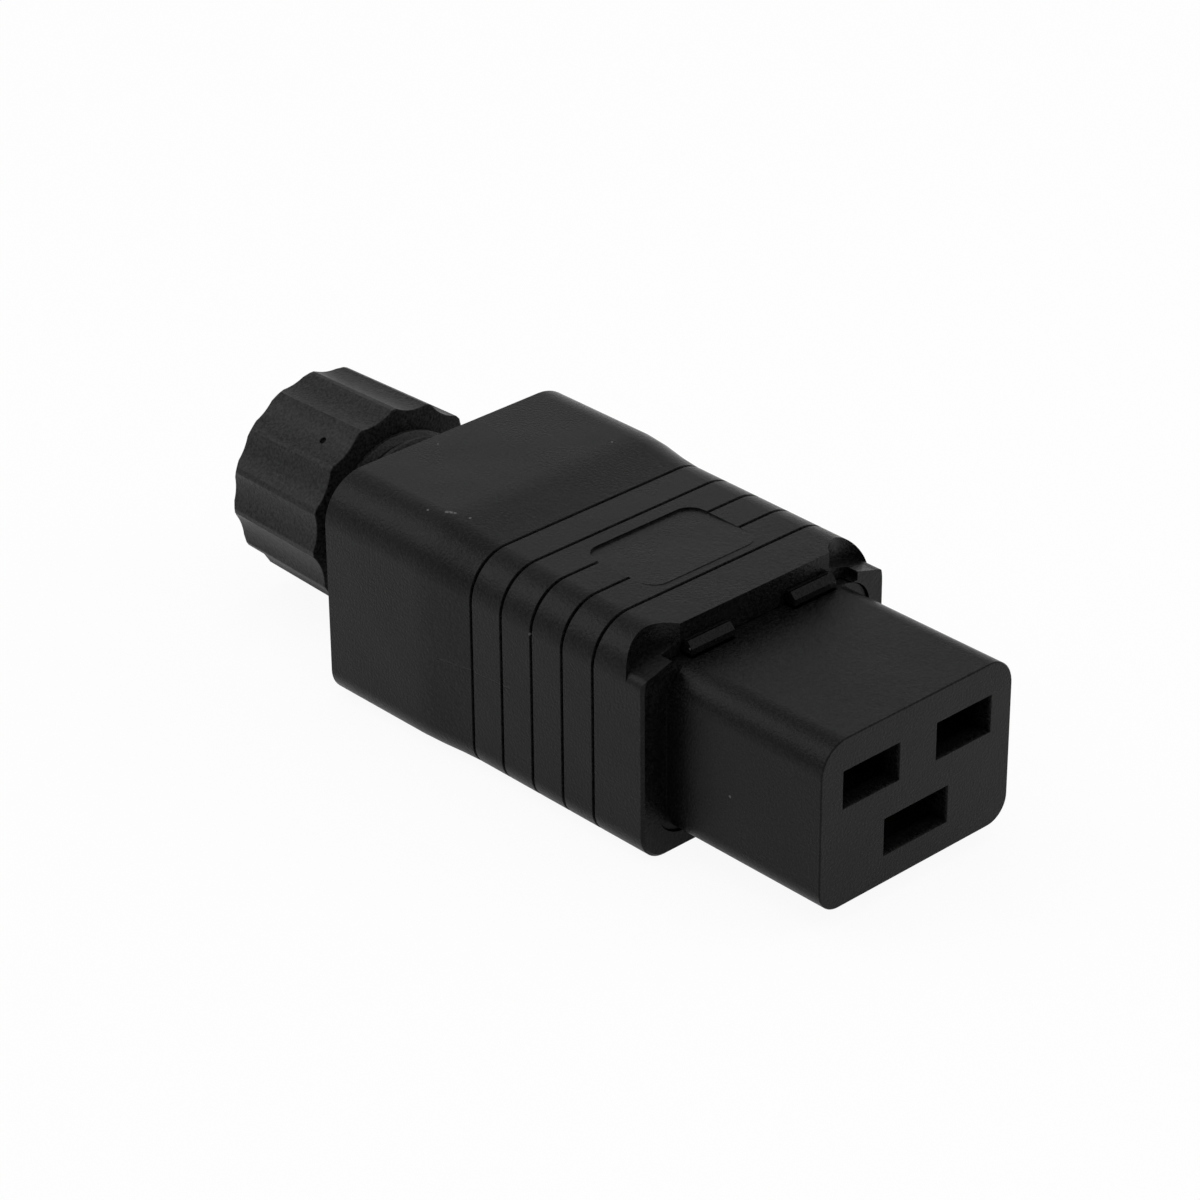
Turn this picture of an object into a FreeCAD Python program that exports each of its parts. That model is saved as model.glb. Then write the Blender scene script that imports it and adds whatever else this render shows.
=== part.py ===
import FreeCAD, Part
import math
import os

# Rewireable C19 cord connector: ribbed one-piece shell, snap-in contact carrier, screw gland at the rear.
# Millimetres. +X is the way the connector plugs in, +Z is up, and the origin is the centre of the mating face.

V = FreeCAD.Vector
X_AXIS = V(1, 0, 0)

# --- contact carrier: the nose that enters the appliance inlet ---------------------------------------------
nose_w = 27.0                 # across the nose
nose_h = 19.0                 # height of the nose
nose_len = 20.85              # how far the nose stands out of the shell
nose_r_top = 3.4              # upper corners
nose_r_bottom = 2.8           # lower corners
nose_wall = 1.8               # front wall that the blade slots go through
pole_pitch = 13.1             # line to neutral
pole_z = 3.75                 # height of line and neutral over the axis
earth_z = -4.15               # height of earth
slot_w, slot_h = 7.5, 3.85    # line and neutral slots
earth_slot_w = 8.7            # the earth slot is wider
slot_lead = 0.45              # bevel round each slot
nose_edge = 0.12              # bevel round the mating face
chamber_w, chamber_h = 9.2, 5.4     # contact chambers behind the slots
flange_side = 1.35            # flange beyond the nose, each side
flange_t = 2.9                # flange thickness
flange_recess = 0.3           # flange behind the shell's front rim
tail_len = 20.0               # carrier behind its flange
tail_inset = 0.35             # tail inside the nose outline
access_r = 3.3                # screwdriver holes over the terminal screws

# --- snap latches on top of the carrier --------------------------------------------------------------------
latch_w = 5.9
latch_y = 7.2                 # centre of each latch from the middle
latch_t = 0.8                 # spring arm
latch_lift = 0.3              # arm above the nose top
latch_arm_len = 6.0           # from the root to the lip
latch_tip_len = 1.3           # thumb tip in front of the lip
latch_tip_h = 1.35
latch_tip_bevel = 0.25
grip_w, grip_d = 0.22, 0.35   # grip groove across the thumb tip
latch_barb_h = 0.45           # catch behind the lip bead
latch_pocket = 0.9            # room under the arm to press it down
latch_slit = 0.15             # slit beside and in front of the latch

# --- shell ------------------------------------------------------------------------------------------------
shell_len = 47.55             # front rim to rear face
shell_hw_front, shell_hw_waist, shell_hw_rear = 17.1, 17.1, 17.7      # half widths
shell_top_front, shell_top_waist, shell_top_rear = 13.0, 13.25, 14.1  # heights over the nose axis
shell_bottom = -11.6          # flat underside
shell_r_top, shell_r_top_rear = 4.9, 5.2
shell_r_bottom = 3.2
rear_wall = 3.6
rear_edge = 0.22              # bevel of the rear face
rim_edge = 0.3                # bevel of the front rim
rear_slope_len = 8.3          # blend from the rear block down to the waist
seat_ledge = 0.75             # ledge that the carrier flange seats on
fit_gap = 0.12                # clearance of a moulded fit

groove_count = 5
groove_pitch = 4.51
groove_first = 7.15           # last groove behind the front rim
groove_w, groove_d = 0.44, 0.55

lip_setback = 1.55            # top lip behind the front rim
lip_bead_len = 2.1            # bead that the latches hook behind
lip_notch = 13.1              # half width of the set-back part of the rim
scoop_r, scoop_y = 4.1, 14.1  # finger scoops either side of the lip
scoop_x = 0.55                # scoop centre in front of the rim
scoop_floor, scoop_rise = 9.3, 0.30        # floor height at the side, and its rise inwards
scoop_ease = 1.1              # rounding of the floor's outer edge

plate_l, plate_w, plate_r = 10.4, 15.3, 2.0      # blank rating plate
plate_x = -34.35
plate_rise = 0.22

# --- screw gland ------------------------------------------------------------------------------------------
gland_z = 0.95                # height of the gland axis
boss_r = 8.65                 # thread core
boss_len = 18.0
boss_bore_r = 6.9
boss_chamfer = 0.5
cord_r = 4.6                  # cord hole of the rubber bush
passage_r = 5.4               # cord passage into the shell
seal_len = 8.0
collet_len = 6.0              # split sleeve behind the bush
collet_bore_r = 5.0
collet_flange_r, collet_flange_t = 8.2, 1.6
collet_slots, collet_slot_w, collet_slot_len = 6, 1.1, 4.5
washer_r, washer_t = 8.1, 0.8
washer_bore_r = 5.3
nut_gap = 9.1                 # nut front to the shell, as the gland stands slackened
nut_r_front, nut_r_rear = 12.1, 11.75
nut_end_wall = 3.05
nut_mouth_r = 6.2
nut_flutes = 15
nut_flute_d = 0.60
nut_land_deg = 3.2
nut_edge = 0.35
nut_pit_r, nut_pit_d = 0.4, 0.5            # sink mark left by the mould
nut_pit_setback = 4.2
thread_gap = 0.1

# --- current carrying parts -------------------------------------------------------------------------------
leaf_t = 0.8                  # brass sheet
leaf_w = 7.0
contact_front = 6.0           # leaf tips behind the mating face
contact_len = 16.0
throat_gap = 1.7              # grips the 2 mm blade
mouth_gap = 3.2
throat_x = 5.5                # throat behind the leaf tips
tab_w = 4.8
spring_t, spring_w = 0.5, 3.0
spring_split = 1.6
frame_w, frame_h, frame_len = 8.2, 5.1, 7.4      # clamp frame
frame_wall = 0.9
frame_side = 1.35
frame_back = 2.2              # frame in front of the carrier's rear face
plate_t = 0.8                 # pressure plate under the screw
screw_r = 1.7
screw_head_r, screw_head_h = 2.95, 1.7
screw_stand = 0.7             # head above the frame
screw_slot_w, screw_slot_d = 0.9, 0.9

# --- rear cover of the carrier ----------------------------------------------------------------------------
cover_t = 1.8
cover_hole_r = 2.2
cover_screw_r, cover_screw_len = 1.1, 8.0
cover_screw_head_r, cover_screw_head_h = 2.0, 1.3

# --- worked out from the sizes above ----------------------------------------------------------------------
rim_x = -nose_len                             # front rim of the shell
rear_x = rim_x - shell_len                    # rear face of the shell
flange_x = rim_x - flange_recess              # front of the flange
flange_back = flange_x - flange_t
tail_x = flange_back - tail_len               # rear face of the carrier
waist_x = rim_x - groove_first - (groove_count - 1) * groove_pitch
lip_x = rim_x - lip_setback
bead_back = lip_x - lip_bead_len
nose_top = nose_h / 2
opening_hw = nose_w / 2 + flange_side + fit_gap
opening_top = nose_top + fit_gap
opening_bottom = -opening_top
cavity_top = nose_top + latch_lift + latch_t + latch_barb_h + fit_gap
cavity_back = rear_x + rear_wall
boss_end = rear_x - boss_len
nut_front = rear_x - nut_gap
seal_front = boss_end + collet_len + seal_len
collet_back = boss_end - collet_flange_t
washer_back = collet_back - washer_t
nut_end = washer_back - nut_end_wall
frame_front = tail_x + frame_back + frame_len
window_h = frame_h / 2 - frame_wall           # half height of the wire window
window_w = frame_w / 2 - frame_side
poles = {                                     # name: (y, z, slot width, side that the screw is on)
    "line": (-pole_pitch / 2, pole_z, slot_w, 1),
    "neutral": (pole_pitch / 2, pole_z, slot_w, 1),
    "earth": (0.0, earth_z, earth_slot_w, -1),
}


# --- helpers ----------------------------------------------------------------------------------------------
def box(x0, x1, y0, y1, z0, z1):
    return Part.makeBox(x1 - x0, y1 - y0, z1 - z0, V(x0, y0, z0))


def rod(x0, x1, r, y=0.0, z=0.0):
    """Cylinder along X."""
    return Part.makeCylinder(r, x1 - x0, V(x0, y, z), X_AXIS)


def upright(r, y, z0, z1, x):
    """Cylinder along Z."""
    return Part.makeCylinder(r, z1 - z0, V(x, y, z0))


def turned(profile):
    """Solid turned about the gland axis from (x, radius) corners."""
    points = [V(x, 0, gland_z + r) for x, r in profile]
    face = Part.Face(Part.makePolygon(points + points[:1]))
    return face.revolve(V(0, 0, gland_z), X_AXIS, 360)


def outline(x, half, low, high, r_top, r_low):
    """Rounded rectangle across the part at x, always eight edges in the same order."""
    def corner(y, z, r, turn):
        a, b, c = (math.radians(turn + step) for step in (0, 45, 90))
        return Part.Arc(*(V(x, y + r * math.cos(t), z + r * math.sin(t)) for t in (a, b, c))).toShape()
    arcs = [corner(half - r_top, high - r_top, r_top, 0), corner(r_top - half, high - r_top, r_top, 90),
            corner(r_low - half, low + r_low, r_low, 180), corner(half - r_low, low + r_low, r_low, 270)]
    edges = []
    for here, after in zip(arcs, arcs[1:] + arcs[:1]):
        edges += [here, Part.makeLine(here.Vertexes[-1].Point, after.Vertexes[0].Point)]
    return Part.Wire(edges)


def prism(x0, x1, half, low, high, r_top, r_low):
    return Part.Face(outline(x0, half, low, high, r_top, r_low)).extrude(V(x1 - x0, 0, 0))


def front_edges(shape, x):
    return [e for e in shape.Edges if all(abs(v.Point.x - x) < 1e-6 for v in e.Vertexes)]


# --- shell ------------------------------------------------------------------------------------------------
def shell_sizes(x):
    """Half width, height of the top and upper corner radius at a station along the shell."""
    if x >= waist_x:
        t = (x - waist_x) / (rim_x - waist_x)
        return (shell_hw_waist + (shell_hw_front - shell_hw_waist) * t,
                shell_top_waist + (shell_top_front - shell_top_waist) * t, shell_r_top)
    t = min(1.0, (waist_x - x) / rear_slope_len)
    ease = t * t * (3 - 2 * t)
    return (shell_hw_waist + (shell_hw_rear - shell_hw_waist) * ease,
            shell_top_waist + (shell_top_rear - shell_top_waist) * ease,
            shell_r_top + (shell_r_top_rear - shell_r_top) * ease)


def shell_section(x, inset=0.0):
    half, top, r_top = shell_sizes(x)
    return outline(x, half - inset, shell_bottom + inset, top - inset, r_top - inset, shell_r_bottom - inset)


def shell_body():
    """The outside: rear block, slope down to the waist, ribs between V grooves, front band."""
    slope_x = waist_x - rear_slope_len
    half, top, r_top = shell_sizes(rear_x)
    block = prism(rear_x, slope_x, half, shell_bottom, top, r_top, shell_r_bottom)
    block = block.makeChamfer(rear_edge, front_edges(block, rear_x))
    first_edge = waist_x - groove_w / 2
    steps = 3
    slope = [shell_section(slope_x + (first_edge - slope_x) * i / steps) for i in range(steps + 1)]
    ribbed = []
    for i in range(groove_count):
        groove = waist_x + i * groove_pitch
        ribbed += [shell_section(groove - groove_w / 2), shell_section(groove, groove_d),
                   shell_section(groove + groove_w / 2)]
    ribbed += [shell_section(rim_x - rim_edge), shell_section(rim_x, rim_edge)]
    return block.fuse([Part.makeLoft(slope, True, True), Part.makeLoft(ribbed, True, True)]).removeSplitter()


def rating_plate():
    """Blank raised plate on top that interrupts the middle grooves."""
    top = shell_sizes(plate_x)[1] + plate_rise
    pad = box(plate_x - plate_l / 2, plate_x + plate_l / 2, -plate_w / 2, plate_w / 2, top - 1.5, top)
    corners = [e for e in pad.Edges if abs(e.Vertexes[0].Point.z - e.Vertexes[-1].Point.z) > 1]
    return pad.makeFillet(plate_r, corners)


def scoop(side):
    """Finger scoop beside the lip: a round notch whose floor rises towards the middle."""
    x = rim_x + scoop_x
    reach = scoop_y + scoop_r
    inner = scoop_y - scoop_r - 1
    floor_in = scoop_floor + scoop_rise * (shell_hw_front - inner)
    start, drop = shell_hw_front - scoop_ease, scoop_floor + scoop_rise * scoop_ease
    eased = [(start + scoop_ease * math.sin(a), drop - scoop_ease * (1 - math.cos(a)))
             for a in (0, math.radians(30), math.radians(60), math.radians(90))]
    sky = shell_top_rear + 1
    corners = eased + [(reach, eased[-1][1]), (reach, sky), (inner, sky), (inner, floor_in)]
    points = [V(x - 2 * scoop_r, side * y, z) for y, z in corners]
    slab = Part.Face(Part.makePolygon(points + points[:1])).extrude(V(4 * scoop_r, 0, 0))
    return upright(scoop_r, side * scoop_y, 0, sky, x).common(slab)


def shell_hollow():
    """Everything cut from the shell's inside: mouth, ledge, cavity, latch room, and the cord passage."""
    r_mouth = nose_r_top + fit_gap
    cut = [prism(flange_back, rim_x + 1, opening_hw, opening_bottom, opening_top, r_mouth, r_mouth)]
    cavity_hw = opening_hw - seat_ledge
    cut.append(prism(cavity_back, flange_back + 1, cavity_hw, opening_bottom, opening_top, r_mouth, r_mouth))
    room_hw = latch_y + latch_w / 2 + 0.5
    cut.append(prism(cavity_back, bead_back, room_hw, 0, cavity_top, 1.0, 1.0))
    window_top = nose_top + latch_lift + latch_t + fit_gap
    for side in (-1, 1):
        y = side * latch_y
        cut.append(box(bead_back - 1, rim_x + 1, y - latch_w / 2 - 0.3, y + latch_w / 2 + 0.3, 0, window_top))
    cut.append(box(lip_x, rim_x + 1, -lip_notch, lip_notch, nose_top, shell_top_rear + 1))
    cut.append(rod(seal_front - 1, cavity_back + 1, passage_r, 0, gland_z))
    cut.append(rod(boss_end - 1, seal_front, boss_bore_r, 0, gland_z))
    return cut


def housing_shell():
    boss = turned([(rear_x + rear_wall, 0), (rear_x + rear_wall, boss_r), (boss_end + boss_chamfer, boss_r),
                   (boss_end, boss_r - boss_chamfer), (boss_end, 0)])
    body = shell_body().fuse([boss, rating_plate()])
    return body.cut(shell_hollow() + [scoop(-1), scoop(1)]).removeSplitter()


# --- contact carrier --------------------------------------------------------------------------------------
def blade_slot(y, z, width):
    """Blade slot with a bevelled mouth."""
    def mouth(x, grow):
        points = [V(x, y + a * (width / 2 + grow), z + b * (slot_h / 2 + grow))
                  for a, b in ((-1, -1), (1, -1), (1, 1), (-1, 1))]
        return Part.makePolygon(points + points[:1])
    lead = Part.makeLoft([mouth(-slot_lead, 0), mouth(0, slot_lead / 2)], True, True)
    return box(-nose_wall - 1, -slot_lead, y - width / 2, y + width / 2, z - slot_h / 2, z + slot_h / 2).fuse(lead)


def latch(side):
    """Spring arm, catch behind the lip and thumb tip in front of it."""
    y0, y1 = side * latch_y - latch_w / 2, side * latch_y + latch_w / 2
    low = nose_top + latch_lift
    root = bead_back - latch_arm_len
    tip = lip_x + latch_tip_len
    high = low + latch_tip_h
    grip = lip_x + latch_tip_len / 2
    profile = [(root - 2.0, nose_top - 1.0), (root, nose_top - 1.0), (root, low), (tip, low),
               (tip, high - latch_tip_bevel), (tip - latch_tip_bevel, high), (grip, high), (grip, high - grip_d),
               (grip - grip_w, high - grip_d), (grip - grip_w, high), (lip_x + fit_gap, high),
               (lip_x + fit_gap, low + latch_t), (bead_back - 0.1, low + latch_t),
               (bead_back - 0.1, low + latch_t + latch_barb_h), (bead_back - 0.5, low + latch_t + latch_barb_h),
               (bead_back - 2.2, low + latch_t), (root - 2.0, low + latch_t)]
    points = [V(x, y0, z) for x, z in profile]
    return Part.Face(Part.makePolygon(points + points[:1])).extrude(V(0, y1 - y0, 0))


def contact_carrier():
    nose = prism(flange_x - 0.5, 0, nose_w / 2, -nose_top, nose_top, nose_r_top, nose_r_bottom)
    nose = nose.makeChamfer(nose_edge, front_edges(nose, 0))
    flange = prism(flange_back, flange_x, nose_w / 2 + flange_side, -nose_top, nose_top, nose_r_top, nose_r_top)
    tail_top = nose_top - tail_inset
    tail = prism(tail_x, flange_back, nose_w / 2 - tail_inset, -tail_top, tail_top, nose_r_top, nose_r_top)
    body = nose.fuse([flange, tail])
    cuts = []
    for side in (-1, 1):
        y = side * latch_y
        cuts.append(box(bead_back - latch_arm_len, lip_x + latch_tip_len + latch_slit, y - latch_w / 2 - latch_slit,
                        y + latch_w / 2 + latch_slit, nose_top - latch_pocket, nose_top + 1))
    screw_x = frame_front - frame_len / 2
    for y, z, width, way in poles.values():
        cuts.append(blade_slot(y, z, width))
        cuts.append(box(tail_x - 1, -nose_wall, y - chamber_w / 2, y + chamber_w / 2,
                        z - chamber_h / 2, z + chamber_h / 2))
        ends = sorted((z, way * (nose_top + 1)))
        cuts.append(upright(access_r, y, ends[0], ends[1], screw_x))
    cuts.append(rod(tail_x - 1, tail_x + cover_screw_len, cover_screw_r + fit_gap / 2, 0, pole_z))
    return body.cut(cuts).fuse([latch(-1), latch(1)]).removeSplitter()


def carrier_rear_cover():
    tail_top = nose_top - tail_inset
    plate = prism(tail_x - cover_t, tail_x, nose_w / 2 - tail_inset, -tail_top, tail_top, nose_r_top, nose_r_top)
    holes = [rod(tail_x - cover_t - 1, tail_x + 1, cover_hole_r, y, z) for y, z, width, way in poles.values()]
    holes.append(rod(tail_x - cover_t - 1, tail_x + 1, cover_screw_r + fit_gap / 2, 0, pole_z))
    return plate.cut(holes)


def rear_cover_screw():
    back = tail_x - cover_t
    shank = rod(back, tail_x + cover_screw_len - 0.5, cover_screw_r, 0, pole_z)
    head = rod(back - cover_screw_head_h, back, cover_screw_head_r, 0, pole_z)
    slot = box(back - cover_screw_head_h - 1, back - cover_screw_head_h / 2, -cover_screw_head_r - 1,
               cover_screw_head_r + 1, pole_z - 0.3, pole_z + 0.3)
    return shank.fuse(head).cut(slot)


# --- current carrying parts, made on the X axis with the screw on top, then put on their pole --------------
def blade_contact():
    """Folded brass fork that grips the blade, with a tab back to the clamp."""
    tip, back = -contact_front, -contact_front - contact_len
    throat = tip - throat_x
    land = spring_w / 2 + 0.2
    m, g, t = mouth_gap / 2, throat_gap / 2, leaf_t
    inner = [(tip, m), (throat + land, g), (throat - land, g), (back + t, m)]
    outer = [(tip, m + t), (throat + land, g + t), (throat - land, g + t), (back, m + t)]
    loop = outer + [(x, -z) for x, z in reversed(outer)] + [(x, -z) for x, z in inner] + inner[::-1]
    points = [V(x, -leaf_w / 2, z) for x, z in loop]
    fork = Part.Face(Part.makePolygon(points + points[:1])).extrude(V(0, leaf_w, 0))
    tab = box(frame_front - frame_len, back, -tab_w / 2, tab_w / 2, -window_h, -window_h + leaf_t)
    return fork.fuse(tab).removeSplitter()


def contact_spring():
    """Steel ring, split underneath, that presses the two leaves together at the throat."""
    x = -contact_front - throat_x
    half_h, half_w = throat_gap / 2 + leaf_t + 0.02, leaf_w / 2 + 0.05
    grow = spring_t
    ring = box(x - spring_w / 2, x + spring_w / 2, -half_w - grow, half_w + grow, -half_h - grow, half_h + grow)
    ring = ring.makeFillet(grow, [e for e in ring.Edges
                                  if abs(e.Vertexes[0].Point.x - e.Vertexes[-1].Point.x) > spring_w / 2])
    hollow = box(x - spring_w, x + spring_w, -half_w, half_w, -half_h, half_h)
    split = box(x - spring_w, x + spring_w, -spring_split / 2, spring_split / 2, -half_h - 2 * grow, 0)
    return ring.cut([hollow, split])


def clamp_frame():
    """Brass frame: the wire enters its window from the rear, and the screw comes down through its roof."""
    x0, x1 = frame_front - frame_len, frame_front
    block = box(x0, x1, -frame_w / 2, frame_w / 2, -frame_h / 2, frame_h / 2)
    window = box(x0 - 1, x1 + 1, -window_w, window_w, -window_h, window_h)
    thread = upright(screw_r + fit_gap / 2, 0, 0, frame_h, (x0 + x1) / 2)
    return block.cut([window, thread])


def pressure_plate():
    """Loose plate under the screw that presses on the wire."""
    side = window_w - fit_gap
    plate = box(frame_front - frame_len + 0.5, frame_front - 0.5, -side, side, window_h - plate_t, window_h)
    return plate


def terminal_screw():
    x = frame_front - frame_len / 2
    head_low = frame_h / 2 + screw_stand
    shank = upright(screw_r, 0, window_h, head_low, x)
    head = upright(screw_head_r, 0, head_low, head_low + screw_head_h, x)
    slot = box(x - screw_head_r - 1, x + screw_head_r + 1, -screw_slot_w / 2, screw_slot_w / 2,
               head_low + screw_head_h - screw_slot_d, head_low + screw_head_h + 1)
    return shank.fuse(head).cut(slot)


def on_pole(shape, y, z, way):
    """Puts a piece on its pole; the earth pole has its screw underneath."""
    placed = shape.copy()
    if way < 0:
        placed.rotate(V(0, 0, 0), X_AXIS, 180)
    placed.translate(V(0, y, z))
    return placed


# --- screw gland ------------------------------------------------------------------------------------------
def gland_seal():
    """Rubber bush that the nut squeezes onto the cord."""
    back, outer = boss_end + collet_len, boss_bore_r - fit_gap
    ring = turned([(back, cord_r), (back, outer), (seal_front, outer), (seal_front, cord_r)])
    rims = [e for e in ring.Edges if abs(e.BoundBox.ZLength - 2 * outer) < 1e-3]
    return ring.makeChamfer(0.5, rims)


def gland_collet():
    """Split pressure sleeve with a flange that the nut pushes on."""
    front, outer = boss_end + collet_len, boss_bore_r - fit_gap
    ring = turned([(collet_back, collet_bore_r), (collet_back, collet_flange_r), (boss_end, collet_flange_r),
                   (boss_end, outer), (front, outer), (front, collet_bore_r)])
    slots = []
    for i in range(collet_slots // 2):
        slot = box(front - collet_slot_len, front + 1, -outer - 1, outer + 1,
                   gland_z - collet_slot_w / 2, gland_z + collet_slot_w / 2)
        slots.append(slot.rotated(V(0, 0, gland_z), X_AXIS, 360 / collet_slots * i))
    return ring.cut(slots)


def gland_washer():
    return turned([(washer_back, washer_bore_r), (washer_back, washer_r),
                   (collet_back, washer_r), (collet_back, washer_bore_r)])


def flute_cutters():
    """Round cutters for the shallow flutes, tilted to follow the nut's taper; the first land is on top."""
    half = math.radians(180 / nut_flutes - nut_land_deg / 2)
    chord = nut_r_front * math.sin(half)
    sag = nut_flute_d - nut_r_front * (1 - math.cos(half))
    radius = (chord ** 2 + sag ** 2) / (2 * sag)
    reach = nut_r_front - nut_flute_d + radius
    taper = V(nut_end - nut_front, 0, nut_r_rear - nut_r_front)
    start = V(nut_front, 0, gland_z + reach) - taper * 0.1
    cutters = []
    for i in range(nut_flutes):
        cutter = Part.makeCylinder(radius, taper.Length * 1.2, start, taper)
        cutter.rotate(V(0, 0, gland_z), X_AXIS, 360 / nut_flutes * (i + 0.5))
        cutters.append(cutter)
    return cutters


def gland_nut():
    bore = boss_r + thread_gap
    body = turned([(nut_end, nut_mouth_r + nut_edge), (nut_end, nut_r_rear - nut_edge),
                   (nut_end + nut_edge, nut_r_rear), (nut_front, nut_r_front), (nut_front, bore),
                   (washer_back, bore), (washer_back, nut_mouth_r), (nut_end + nut_edge, nut_mouth_r)])
    pit_foot = gland_z + nut_r_front - nut_flute_d - nut_pit_d
    pit = Part.makeCylinder(nut_pit_r, 2, V(nut_front - nut_pit_setback, 0, pit_foot))
    pit.rotate(V(0, 0, gland_z), X_AXIS, 360 / nut_flutes * 1.5)
    return body.cut(flute_cutters() + [pit])


# --- every piece in its own file --------------------------------------------------------------------------
pieces = {
    "housing_shell": housing_shell(),
    "contact_carrier": contact_carrier(),
    "carrier_rear_cover": carrier_rear_cover(),
    "rear_cover_screw": rear_cover_screw(),
    "gland_seal": gland_seal(),
    "gland_collet": gland_collet(),
    "gland_washer": gland_washer(),
    "gland_nut": gland_nut(),
}
pole_parts = {
    "contact": blade_contact(),
    "contact_spring": contact_spring(),
    "clamp_frame": clamp_frame(),
    "pressure_plate": pressure_plate(),
    "terminal_screw": terminal_screw(),
}
for pole, (y, z, width, way) in poles.items():
    for name, shape in pole_parts.items():
        pieces[pole + "_" + name] = on_pole(shape, y, z, way)

os.makedirs("parts", exist_ok=True)
for name, shape in pieces.items():
    shape.exportStep("parts/" + name + ".step")
    print(name, "valid" if shape.isValid() else "NOT VALID", len(shape.Solids), round(shape.Volume, 1))
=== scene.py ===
import bmesh
import bpy
import math
from mathutils import Matrix, Vector


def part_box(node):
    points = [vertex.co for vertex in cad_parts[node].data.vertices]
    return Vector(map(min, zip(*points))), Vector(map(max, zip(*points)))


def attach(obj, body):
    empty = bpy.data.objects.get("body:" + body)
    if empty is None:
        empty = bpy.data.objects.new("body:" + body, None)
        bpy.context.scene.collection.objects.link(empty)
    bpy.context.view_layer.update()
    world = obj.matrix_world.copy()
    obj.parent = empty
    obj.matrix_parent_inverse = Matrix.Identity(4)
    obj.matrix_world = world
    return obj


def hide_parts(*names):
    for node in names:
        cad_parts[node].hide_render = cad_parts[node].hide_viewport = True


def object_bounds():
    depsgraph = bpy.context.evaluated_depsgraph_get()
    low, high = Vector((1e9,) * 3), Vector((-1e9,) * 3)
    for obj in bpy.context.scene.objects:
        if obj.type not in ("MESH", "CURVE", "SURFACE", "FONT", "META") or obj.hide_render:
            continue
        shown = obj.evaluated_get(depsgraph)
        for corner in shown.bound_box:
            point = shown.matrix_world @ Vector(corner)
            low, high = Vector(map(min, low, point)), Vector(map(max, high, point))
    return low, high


# Rewireable C19 cord connector: black moulded shell and contact carrier, slackened cord gland.
# Metres; +X is the way the connector plugs in, +Z is up, the origin is the centre of the mating face.

MM = 0.001
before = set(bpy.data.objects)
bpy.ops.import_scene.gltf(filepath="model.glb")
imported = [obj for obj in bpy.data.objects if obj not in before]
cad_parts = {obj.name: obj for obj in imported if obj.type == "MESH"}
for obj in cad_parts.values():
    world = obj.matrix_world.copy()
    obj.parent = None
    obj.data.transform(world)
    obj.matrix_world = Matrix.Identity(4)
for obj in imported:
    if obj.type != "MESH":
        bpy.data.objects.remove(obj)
cad_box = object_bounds()

# sizes that the dressing shares with the solid parts, and those of the cuts in the shell's dressed copy
GLAND_HEIGHT = 0.95 * MM
THREAD_CORE = 8.6 * MM
THREAD_CREST = 9.42 * MM
THREAD_PITCH = 2.0 * MM
FLAT_WITHIN = 0.35                              # degrees: facets this close to one plane are one wall
WELD = 0.0005 * MM
FLOOR_HALF = 4.0                                # m
PLATE_X, PLATE_LENGTH, PLATE_WIDTH, PLATE_RADIUS = -34.35 * MM, 10.4 * MM, 15.3 * MM, 2.0 * MM
PLATE_REAR, PLATE_FRONT, PLATE_MARGIN = 12.94 * MM, 13.14 * MM, 0.04 * MM   # heights of the plate's two ends
SKY = 16.0 * MM                                 # above everything that a cut has to clear
SCOOP_X, SCOOP_Y, SCOOP_RADIUS = -20.3 * MM, 14.1 * MM, 4.15 * MM
SCOOP_FLOOR, SCOOP_RISE, SCOOP_EASE, SCOOP_SIDE = 9.27 * MM, 0.30, 1.3 * MM, 17.1 * MM
# thumb tips of the latches: (x, z) of the solid part's corner and where the dressed copy has it, mm
THUMB_TIP = [((-21.35, 11.15), (-21.66, 11.12)),
             ((-21.1, 10.9), (-21.05, 10.48)),
             ((-21.1, 9.8), (-21.05, 9.8))]
TIP_NEAR, TIP_FROM, TIP_TO = 0.02, 4.0, 10.3    # how close a corner counts, and where the tips lie across, mm
NUT_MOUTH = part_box("gland_nut")[1][0]
SHELL_REAR_FACE = -68.4 * MM


# --- node building ---------------------------------------------------------------------------------------
def add(tree, kind, values=None, **settings):
    """A node with its settings, and plain values on its sockets."""
    node = tree.nodes.new(kind)
    for key, value in settings.items():
        setattr(node, key, value)
    for socket, value in (values or {}).items():
        node.inputs[socket].default_value = value
    return node


def join(tree, a, out, b, into):
    tree.links.new(a.outputs[out], b.inputs[into])


def shader_group(name, inputs, outputs):
    """An empty shader group with named sockets: {name: (type, default)} in and {name: type} out."""
    tree = bpy.data.node_groups.new(name, "ShaderNodeTree")
    for label, (kind, default) in inputs.items():
        socket = tree.interface.new_socket(label, in_out="INPUT", socket_type="NodeSocket" + kind)
        if default is not None:
            socket.default_value = default
    for label, kind in outputs.items():
        tree.interface.new_socket(label, in_out="OUTPUT", socket_type="NodeSocket" + kind)
    return tree, tree.nodes.new("NodeGroupInput"), tree.nodes.new("NodeGroupOutput")


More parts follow.
